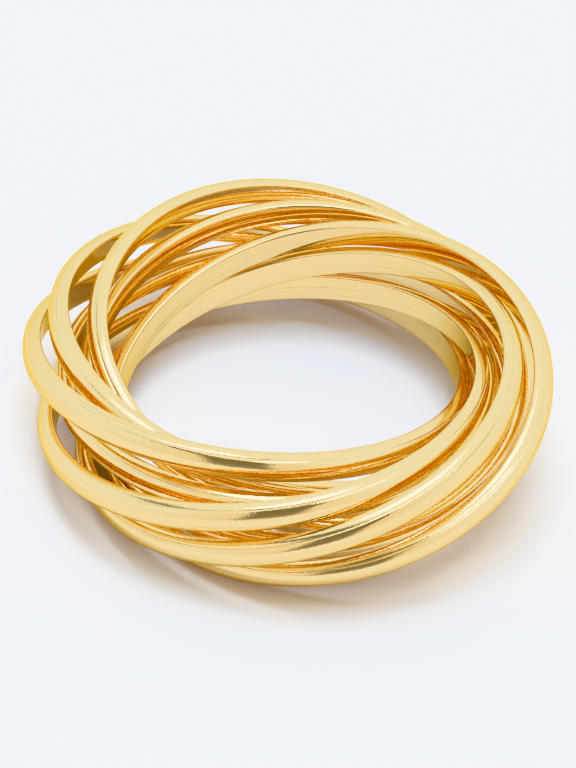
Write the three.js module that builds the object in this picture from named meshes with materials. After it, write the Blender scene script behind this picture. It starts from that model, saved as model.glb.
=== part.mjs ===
// A rolling ring: eight equal, loose bands of polished gold-coloured metal, each passing once through
// every other, like the strands of a rope whose ends are joined. The set lies on its side on a table.
// Millimetres, +Z up. The origin is on the table, below the middle of the set, and -Y is its front.
import * as THREE from "three";

const INNER_RADIUS = 10.3; // to the flat inner face of every band
const BAND_WIDTH = 1.45; // along the band's own axis
const BAND_THICKNESS = 0.88; // from the inner face to the top of the dome
const SIDE_HEIGHT = 0.12; // the upright side below the dome
const EDGE_BREAK = 0.12; // the bevel between that side and the inner face
const CROWN = 2.2; // power of the dome's curve: 2 is an ellipse, and more is squarer
const DOME_STEPS = 8;
const FACETS = 60; // round each band

// How each band lies: where its centre is beside the middle of the set (mm), how far it is tilted, on which
// side its low point is (degrees, anticlockwise from +X), and the gap under that point (mm). The first six
// go round the outside of the bundle, with their low points following one another clockwise, and rest on the
// table or nearly so. The last two run through its middle and are carried by the others.
const BANDS = [
  { name: "band_1", x: 1.8, y: -1, tilt: 17, lowSide: 221, gapBelow: 0 },
  { name: "band_2", x: 0.5, y: -1.5, tilt: 17.5, lowSide: 183, gapBelow: 0 },
  { name: "band_3", x: -1.1, y: -1, tilt: 13, lowSide: 143, gapBelow: 0.5 },
  { name: "band_4", x: -2, y: 1.5, tilt: 12.5, lowSide: 79, gapBelow: 0.6 },
  { name: "band_5", x: -1.1, y: 2.7, tilt: 13, lowSide: 19, gapBelow: 0 },
  { name: "band_6", x: 0.9, y: 2.7, tilt: 15, lowSide: 319, gapBelow: 0 },
  { name: "band_7", x: 0.9, y: 0.6, tilt: 11, lowSide: 258, gapBelow: 1.2 },
  { name: "band_8", x: -0.3, y: 0.7, tilt: 4.5, lowSide: 124, gapBelow: 2 },
];

// The band's section: x is the distance from its axis, y the distance from its middle plane. It goes over
// the dome from one side to the other, and back along the flat inner face.
function bandSection() {
  const half = BAND_WIDTH / 2;
  const rise = BAND_THICKNESS - SIDE_HEIGHT;
  const section = [];
  for (let step = 0; step <= DOME_STEPS; step++) {
    const across = -Math.cos((Math.PI * step) / DOME_STEPS);
    const dome = Math.sqrt(Math.max(0, 1 - Math.abs(across) ** CROWN));
    section.push(new THREE.Vector2(INNER_RADIUS + SIDE_HEIGHT + rise * dome, half * across));
  }
  section.push(new THREE.Vector2(INNER_RADIUS, half - EDGE_BREAK));
  section.push(new THREE.Vector2(INNER_RADIUS, EDGE_BREAK - half));
  section.push(section[0].clone());
  return section;
}

// How far a band tilted by this angle reaches below its own centre.
function reachBelowCentre(section, tilt) {
  return Math.max(...section.map((p) => p.x * Math.sin(tilt) - p.y * Math.cos(tilt)));
}

function polishedGold() {
  return new THREE.MeshStandardMaterial({ color: 0xf2d28b, metalness: 1, roughness: 0.08 });
}

// One band, its axis leaning towards its low side, and its low point gapBelow above the table.
function makeBand({ name, x, y, tilt, lowSide, gapBelow }) {
  const section = bandSection();
  const lean = THREE.MathUtils.degToRad(tilt);
  const geometry = new THREE.LatheGeometry(section, FACETS).rotateX(Math.PI / 2);
  const band = new THREE.Mesh(geometry, polishedGold());
  band.name = name;
  band.rotation.set(0, lean, THREE.MathUtils.degToRad(lowSide), "ZYX");
  band.position.set(x, y, gapBelow + reachBelowCentre(section, lean));
  return band;
}

// The whole set, with the origin moved to the middle of its footprint.
function makeRollingRing() {
  const bundle = new THREE.Group();
  bundle.add(...BANDS.map(makeBand));
  const box = new THREE.Box3().setFromObject(bundle, true);
  const middle = box.getCenter(new THREE.Vector3());
  bundle.position.set(-middle.x, -middle.y, -box.min.z);
  return new THREE.Group().add(bundle);
}

export default makeRollingRing();
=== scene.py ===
import math

import bmesh
import bpy
import numpy as np
from mathutils import Matrix, Vector


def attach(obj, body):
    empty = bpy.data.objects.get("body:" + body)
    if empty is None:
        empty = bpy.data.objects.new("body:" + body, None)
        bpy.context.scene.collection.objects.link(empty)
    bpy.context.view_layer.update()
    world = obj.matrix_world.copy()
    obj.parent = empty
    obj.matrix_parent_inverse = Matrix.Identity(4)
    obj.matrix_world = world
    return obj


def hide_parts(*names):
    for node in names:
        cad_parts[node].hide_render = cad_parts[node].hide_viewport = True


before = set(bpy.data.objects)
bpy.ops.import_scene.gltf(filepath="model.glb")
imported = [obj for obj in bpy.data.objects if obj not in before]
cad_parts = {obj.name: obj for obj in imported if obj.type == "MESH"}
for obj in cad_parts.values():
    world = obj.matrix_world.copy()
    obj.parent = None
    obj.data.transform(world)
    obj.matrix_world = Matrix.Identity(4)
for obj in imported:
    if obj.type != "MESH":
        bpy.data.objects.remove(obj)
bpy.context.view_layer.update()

# The camera stands in front of the ring at table height and a long lens looks down on it. It is rolled a
# few degrees, so the far side of the bundle leans up to the left.
CAMERA_ELEVATION = math.radians(39.8)
CAMERA_ROLL = math.radians(4.4)
CAMERA_DISTANCE = 0.1894
CAMERA_TARGET = Vector((0.00020, -0.00059, 0.0036))

camera_data = bpy.data.cameras.new("camera")
camera_data.sensor_width = 36
camera_data.lens = 182
camera_data.clip_start = 0.01
camera_data.clip_end = 10
camera = bpy.data.objects.new("camera", camera_data)
towards_camera = Vector((0, -math.cos(CAMERA_ELEVATION), math.sin(CAMERA_ELEVATION)))
upright = (-towards_camera).to_track_quat("-Z", "Y").to_matrix().to_4x4()
camera.matrix_world = (
    Matrix.Translation(CAMERA_TARGET + towards_camera * CAMERA_DISTANCE)
    @ Matrix.Rotation(-CAMERA_ROLL, 4, -towards_camera)
    @ upright
)
bpy.context.scene.collection.objects.link(camera)
bpy.context.scene.camera = camera


# The ring lies on a plain, pale table top with a dull, even finish that takes a soft shadow.
TABLE_SIZE = 1.6

table_mesh = bmesh.new()
bmesh.ops.create_grid(table_mesh, x_segments=1, y_segments=1, size=TABLE_SIZE / 2)
table_top = bpy.data.objects.new("table_top", bpy.data.meshes.new("table_top"))
table_mesh.to_mesh(table_top.data)
table_mesh.free()
bpy.context.scene.collection.objects.link(table_top)

table_paint = bpy.data.materials.new("table_paint")
table_paint.use_nodes = True
table_shader = table_paint.node_tree.nodes["Principled BSDF"]
table_shader.inputs["Base Color"].default_value = (0.735, 0.595, 0.420, 1)
table_shader.inputs["Roughness"].default_value = 0.7
table_shader.inputs["Specular IOR Level"].default_value = 0.2
table_top.data.materials.append(table_paint)


# Studio light: a white tent, with two bright windows that draw narrow white lines on the bands. A dark
# stand in front, its long arm overhead and a tan board are mirrored as dull patches. Cooler lamps, hidden
# from the metal, light the cream table and leave its shadows warm.
TENT_LIGHT = 1.43
TENT_FOOT = (0.72, 0.79, 0.93, 1)
TENT_TOP = (0.83, 0.91, 1.0, 1)
WINDOW_DISTANCE = 0.8
TAN_BOARD_DISTANCE = 0.64
STAND_DISTANCE = 0.60

tent = bpy.data.worlds.new("white_tent")
tent.use_nodes = True
tent_nodes, tent_links = tent.node_tree.nodes, tent.node_tree.links
tent_cloth = tent_nodes["Background"]
tent_cloth.inputs["Strength"].default_value = TENT_LIGHT
tent_place = tent_nodes.new("ShaderNodeTexCoord")
tent_height = tent_nodes.new("ShaderNodeSeparateXYZ")
tent_links.new(tent_place.outputs["Generated"], tent_height.inputs["Vector"])
tent_colour = tent_nodes.new("ShaderNodeValToRGB")
tent_colour.color_ramp.elements[0].color = TENT_FOOT
tent_colour.color_ramp.elements[1].color = TENT_TOP
tent_links.new(tent_height.outputs["Z"], tent_colour.inputs["Fac"])
tent_links.new(tent_colour.outputs["Color"], tent_cloth.inputs["Color"])
bpy.context.scene.world = tent


def direction(azimuth, elevation):
    """Unit vector from the ring, with azimuth from the front towards the right, in degrees."""
    a, e = math.radians(azimuth), math.radians(elevation)
    return Vector((math.sin(a) * math.cos(e), -math.cos(a) * math.cos(e), math.sin(e)))


def window(name, azimuth, elevation, width, height, brightness, colour):
    """A flat, even light that hangs in that direction and faces the ring, in degrees and metres."""
    lamp = bpy.data.lights.new(name, "AREA")
    lamp.shape = "RECTANGLE"
    lamp.size, lamp.size_y = width, height
    lamp.color = colour
    lamp.energy = brightness * math.pi * width * height
    box = bpy.data.objects.new(name, lamp)
    box.location = direction(azimuth, elevation) * WINDOW_DISTANCE
    box.rotation_euler = (-box.location).to_track_quat("-Z", "Y").to_euler()
    bpy.context.scene.collection.objects.link(box)
    return box


window("back_window", -155, 76, 0.26, 0.26, 7.5, (0.85, 0.98, 1.35))
window("front_window", 55, 70, 0.40, 0.07, 9.0, (0.85, 0.98, 1.35))
roof_light = window("roof_light", 180, 88, 0.50, 0.50, 9.7, (0.21, 0.47, 1.09))
side_light = window("side_light", -90, 50, 0.40, 0.36, 3.8, (0.20, 0.46, 1.09))
rear_light = window("rear_light", -165, 48, 0.40, 0.36, 3.4, (0.82, 0.88, 1.09))
for table_lamp in (roof_light, side_light, rear_light):
    table_lamp.visible_glossy = False


def panel_paint(name, colour):
    """Dull paint that fades out where the panel's own cover is low."""
    paint = bpy.data.materials.new(name)
    paint.use_nodes = True
    nodes, links = paint.node_tree.nodes, paint.node_tree.links
    nodes["Principled BSDF"].inputs["Base Color"].default_value = colour
    nodes["Principled BSDF"].inputs["Roughness"].default_value = 0.8
    cover = nodes.new("ShaderNodeAttribute")
    cover.attribute_name = "cover"
    see_through = nodes.new("ShaderNodeBsdfTransparent")
    fade = nodes.new("ShaderNodeMixShader")
    links.new(cover.outputs["Fac"], fade.inputs["Fac"])
    links.new(see_through.outputs["BSDF"], fade.inputs[1])
    links.new(nodes["Principled BSDF"].outputs["BSDF"], fade.inputs[2])
    links.new(fade.outputs["Shader"], nodes["Material Output"].inputs["Surface"])
    return paint


def hanging_panel(name, paint, distance, rows):
    """A panel seen only in the metal. A row holds points in azimuth and elevation, and the cover there."""
    panel_mesh = bmesh.new()
    cover = panel_mesh.verts.layers.float.new("cover")
    bmesh.ops.create_grid(panel_mesh, x_segments=len(rows[0]) - 1, y_segments=len(rows) - 1, size=1)
    points = [point for row in rows for point in row]
    for v, (azimuth, elevation, amount) in zip(panel_mesh.verts, points, strict=True):
        v.co = direction(azimuth, elevation) * distance
        v[cover] = amount
    panel = bpy.data.objects.new(name, bpy.data.meshes.new(name))
    panel_mesh.to_mesh(panel.data)
    panel_mesh.free()
    panel.data.materials.append(paint)
    panel.visible_camera = False
    panel.visible_diffuse = False
    panel.visible_shadow = False
    bpy.context.scene.collection.objects.link(panel)


tan_paint = panel_paint("tan_paint", (0.80, 0.56, 0.26, 1))
hanging_panel("tan_board", tan_paint, TAN_BOARD_DISTANCE, [
    [(-65, 2, 0), (-30, 2, 0.3), (-10, 2, 0.45), (12, 2, 0.45), (32, 2, 0.3), (60, 2, 0)],
    [(-70, 40, 0), (-35, 40, 0.4), (-10, 40, 0.6), (12, 40, 0.6), (36, 40, 0.4), (60, 40, 0)],
    [(-75, 66, 0), (-45, 66, 0.4), (-12, 66, 0.5), (14, 66, 0.5), (38, 66, 0.3), (60, 66, 0)],
    [(-75, 78, 0), (-45, 78, 0), (-12, 76, 0), (14, 76, 0), (38, 78, 0), (60, 78, 0)],
])
dark_paint = panel_paint("dark_paint", (0.215, 0.19, 0.14, 1))
hanging_panel("stand", dark_paint, STAND_DISTANCE, [
    [(-19, 2, 0), (-9, 2, 0.6), (13, 2, 0.6), (22, 2, 0)],
    [(-19, 16, 0), (-11, 16, 1), (13, 16, 1), (21, 16, 0)],
    [(-22, 35, 0), (-14, 35, 1), (13, 35, 1), (21, 35, 0)],
    [(-27, 50, 0), (-19, 50, 1), (20, 50, 1), (29, 50, 0)],
    [(-34, 64, 0), (-26, 64, 1), (22, 64, 1), (31, 64, 0)],
    [(-36, 69, 0), (-26, 69, 0), (22, 69, 0), (33, 69, 0)],
])
hanging_panel("arm", dark_paint, STAND_DISTANCE, [
    [(-138, 38, 0), (-120, 43, 0), (-106, 48, 0), (-94, 53, 0), (-75, 60, 0), (-40, 60, 0), (-15, 56, 0)],
    [(-138, 43, 0.6), (-120, 48, 1), (-106, 53, 1), (-94, 59, 1), (-75, 66, 1), (-40, 66, 1), (-15, 61, 1)],
    [(-138, 45, 0.6), (-120, 51, 1), (-106, 57, 1), (-94, 67, 1), (-75, 73, 1), (-40, 72, 1), (-15, 65, 1)],
    [(-138, 50, 0), (-120, 57, 0), (-106, 62, 0), (-94, 73, 0), (-75, 79, 0), (-40, 78, 0), (-15, 72, 0)],
])

bpy.context.scene.view_settings.view_transform = "Khronos PBR Neutral"
bpy.context.scene.cycles.max_bounces = 24
bpy.context.scene.cycles.glossy_bounces = 24


# Eight closed bands of gold-coloured metal, drawn as half-round wire with a flat inner face, bent round,
# joined end to end and polished. They pass through one another and lie loose. The polish leaves fine
# lengthways lines, a thin line beside each rim and a fine grain.
INNER_RADIUS = 0.0103
BAND_WIDTH = 0.00143
BAND_THICKNESS = 0.00086
SIDE_HEIGHT = 0.00012
INNER_EDGE_RADIUS = 0.00012
CROWN = 2.45
DOME_CIRCLE_STEPS = 56
INNER_EDGE_STEPS = 4
STEPS_ROUND = 360
POLISH_LINES_ACROSS = 15000
POLISH_LINES_ROUND = 1.5
INNER_POLISH = 0.12


def band_section(section, across, outwards, inner_middle):
    """Draws the half-round section: a dome over two low sides and a flat inner face with rounded edges.

    The dome is a little flatter on top and fuller at its shoulders than an ellipse.
    """
    half = BAND_WIDTH / 2
    rise = BAND_THICKNESS - SIDE_HEIGHT
    bmesh.ops.create_circle(section, segments=DOME_CIRCLE_STEPS, radius=1)
    bmesh.ops.delete(section, geom=[v for v in section.verts if v.co.y < -1e-6], context="VERTS")
    dome_foot = inner_middle + outwards * SIDE_HEIGHT
    for v in section.verts:
        height = math.sqrt(max(0, 1 - abs(v.co.x) ** CROWN))
        v.co = dome_foot + across * (half * v.co.x) + outwards * (rise * height)
    dome_ends = [v for v in section.verts if len(v.link_edges) == 1]
    corners = [section.verts.new(v.co - outwards * SIDE_HEIGHT) for v in dome_ends]
    for end, corner in zip(dome_ends, corners):
        section.edges.new((end, corner))
    section.edges.new(corners)
    bmesh.ops.bevel(
        section, geom=corners, offset=INNER_EDGE_RADIUS, offset_type="OFFSET",
        segments=INNER_EDGE_STEPS, profile=0.5, affect="VERTICES", material=-1,
    )


def make_band(name):
    """One smooth band in the place of the CAD band, whose axis is the way in which it is thinnest."""
    cad_points = np.array([v.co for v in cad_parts[name].data.vertices])
    middle = Vector(cad_points.mean(axis=0))
    axis = Vector(np.linalg.eigh(np.cov(cad_points.T))[1][:, 0])
    outwards = axis.orthogonal().normalized()
    shape = bmesh.new()
    band_section(shape, axis, outwards, middle + outwards * INNER_RADIUS)
    bmesh.ops.spin(
        shape, geom=shape.verts[:] + shape.edges[:], cent=middle, axis=axis,
        angle=math.tau, steps=STEPS_ROUND, use_merge=True,
    )
    bmesh.ops.recalc_face_normals(shape, faces=shape.faces)
    # The polish runs lengthways: its pattern changes fast across the wire and slowly round the band.
    polish_run = shape.verts.layers.float_vector.new("polish_run")
    on_dome = shape.verts.layers.float.new("on_dome")
    to_rim = shape.verts.layers.float.new("to_rim")
    sideways = axis.cross(outwards)
    # The inner face and its rounded edges end just below the foot of the dome.
    inner_face_reach = INNER_RADIUS + SIDE_HEIGHT * 0.9
    for v in shape.verts:
        place = v.co - middle
        height = place.dot(axis)
        spoke = place - axis * height
        round_band = Vector((spoke.dot(outwards), spoke.dot(sideways))).normalized() * POLISH_LINES_ROUND
        v[polish_run] = (
            height * POLISH_LINES_ACROSS,
            spoke.length * POLISH_LINES_ACROSS + round_band.x,
            round_band.y,
        )
        v[to_rim] = abs(height) * 2 / BAND_WIDTH
        v[on_dome] = INNER_POLISH if spoke.length < inner_face_reach else 1.0
    for face in shape.faces:
        face.smooth = True
    band = bpy.data.objects.new(name + "_polished", bpy.data.meshes.new(name + "_polished"))
    shape.to_mesh(band.data)
    shape.free()
    bpy.context.scene.collection.objects.link(band)
    return band


polished_gold = bpy.data.materials.new("polished_gold")
polished_gold.use_nodes = True
nodes, links = polished_gold.node_tree.nodes, polished_gold.node_tree.links
gold_shader = nodes["Principled BSDF"]
gold_shader.inputs["Specular Tint"].default_value = (0.87, 0.73, 0.30, 1)
gold_shader.inputs["Metallic"].default_value = 1.0

# Gold that turns browner along the strongest of the polish lines.
polish_line_colour = nodes.new("ShaderNodeValToRGB")
polish_line_colour.color_ramp.elements[0].position = 0.60
polish_line_colour.color_ramp.elements[0].color = (0.91, 0.69, 0.33, 1)
polish_line_colour.color_ramp.elements[1].position = 0.72
polish_line_colour.color_ramp.elements[1].color = (0.62, 0.44, 0.15, 1)
links.new(polish_line_colour.outputs["Color"], gold_shader.inputs["Base Color"])

lengthways = nodes.new("ShaderNodeAttribute")
lengthways.attribute_name = "polish_run"
polish_lines = nodes.new("ShaderNodeTexNoise")
polish_lines.inputs["Scale"].default_value = 1.0
polish_lines.inputs["Detail"].default_value = 3.0
links.new(lengthways.outputs["Vector"], polish_lines.inputs["Vector"])
links.new(polish_lines.outputs["Fac"], polish_line_colour.inputs["Fac"])

on_dome = nodes.new("ShaderNodeAttribute")
on_dome.attribute_name = "on_dome"

# All relief is weak on the flat inner face, which is smoother than the dome.
line_relief = nodes.new("ShaderNodeBump")
links.new(on_dome.outputs["Fac"], line_relief.inputs["Strength"])
line_relief.inputs["Distance"].default_value = 0.000002
links.new(polish_lines.outputs["Fac"], line_relief.inputs["Height"])

# The thin line beside each rim, as a share of the way from the middle of the dome to the rim.
RIM_LINE = 0.80
RIM_LINE_REACH = 0.04
rim_place = nodes.new("ShaderNodeAttribute")
rim_place.attribute_name = "to_rim"
rim_groove = nodes.new("ShaderNodeValToRGB")
rim_groove.color_ramp.elements[0].position = RIM_LINE - RIM_LINE_REACH
rim_groove.color_ramp.elements[0].color = (1, 1, 1, 1)
rim_groove.color_ramp.elements[1].position = RIM_LINE + RIM_LINE_REACH
rim_groove.color_ramp.elements[1].color = (1, 1, 1, 1)
rim_groove.color_ramp.elements.new(RIM_LINE).color = (0, 0, 0, 1)
links.new(rim_place.outputs["Fac"], rim_groove.inputs["Fac"])
rim_relief = nodes.new("ShaderNodeBump")
rim_relief.inputs["Distance"].default_value = 0.00002
links.new(on_dome.outputs["Fac"], rim_relief.inputs["Strength"])
links.new(rim_groove.outputs["Color"], rim_relief.inputs["Height"])
links.new(line_relief.outputs["Normal"], rim_relief.inputs["Normal"])

place_in_part = nodes.new("ShaderNodeTexCoord")
fine_grain = nodes.new("ShaderNodeTexNoise")
fine_grain.inputs["Scale"].default_value = 11000.0
fine_grain.inputs["Detail"].default_value = 1.0
links.new(place_in_part.outputs["Object"], fine_grain.inputs["Vector"])
grain_relief = nodes.new("ShaderNodeBump")
links.new(on_dome.outputs["Fac"], grain_relief.inputs["Strength"])
grain_relief.inputs["Distance"].default_value = 0.000004
links.new(fine_grain.outputs["Fac"], grain_relief.inputs["Height"])
links.new(rim_relief.outputs["Normal"], grain_relief.inputs["Normal"])
links.new(grain_relief.outputs["Normal"], gold_shader.inputs["Normal"])

dullness = nodes.new("ShaderNodeMapRange")
dullness.inputs["From Min"].default_value = 0.3
dullness.inputs["From Max"].default_value = 0.7
dullness.inputs["To Min"].default_value = 0.02
dullness.inputs["To Max"].default_value = 0.06
links.new(polish_lines.outputs["Fac"], dullness.inputs["Value"])
links.new(dullness.outputs["Result"], gold_shader.inputs["Roughness"])

for number in range(1, 9):
    cad_band = f"band_{number}"
    band = make_band(cad_band)
    band.data.materials.append(polished_gold)
    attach(band, cad_band)
    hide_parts(cad_band)
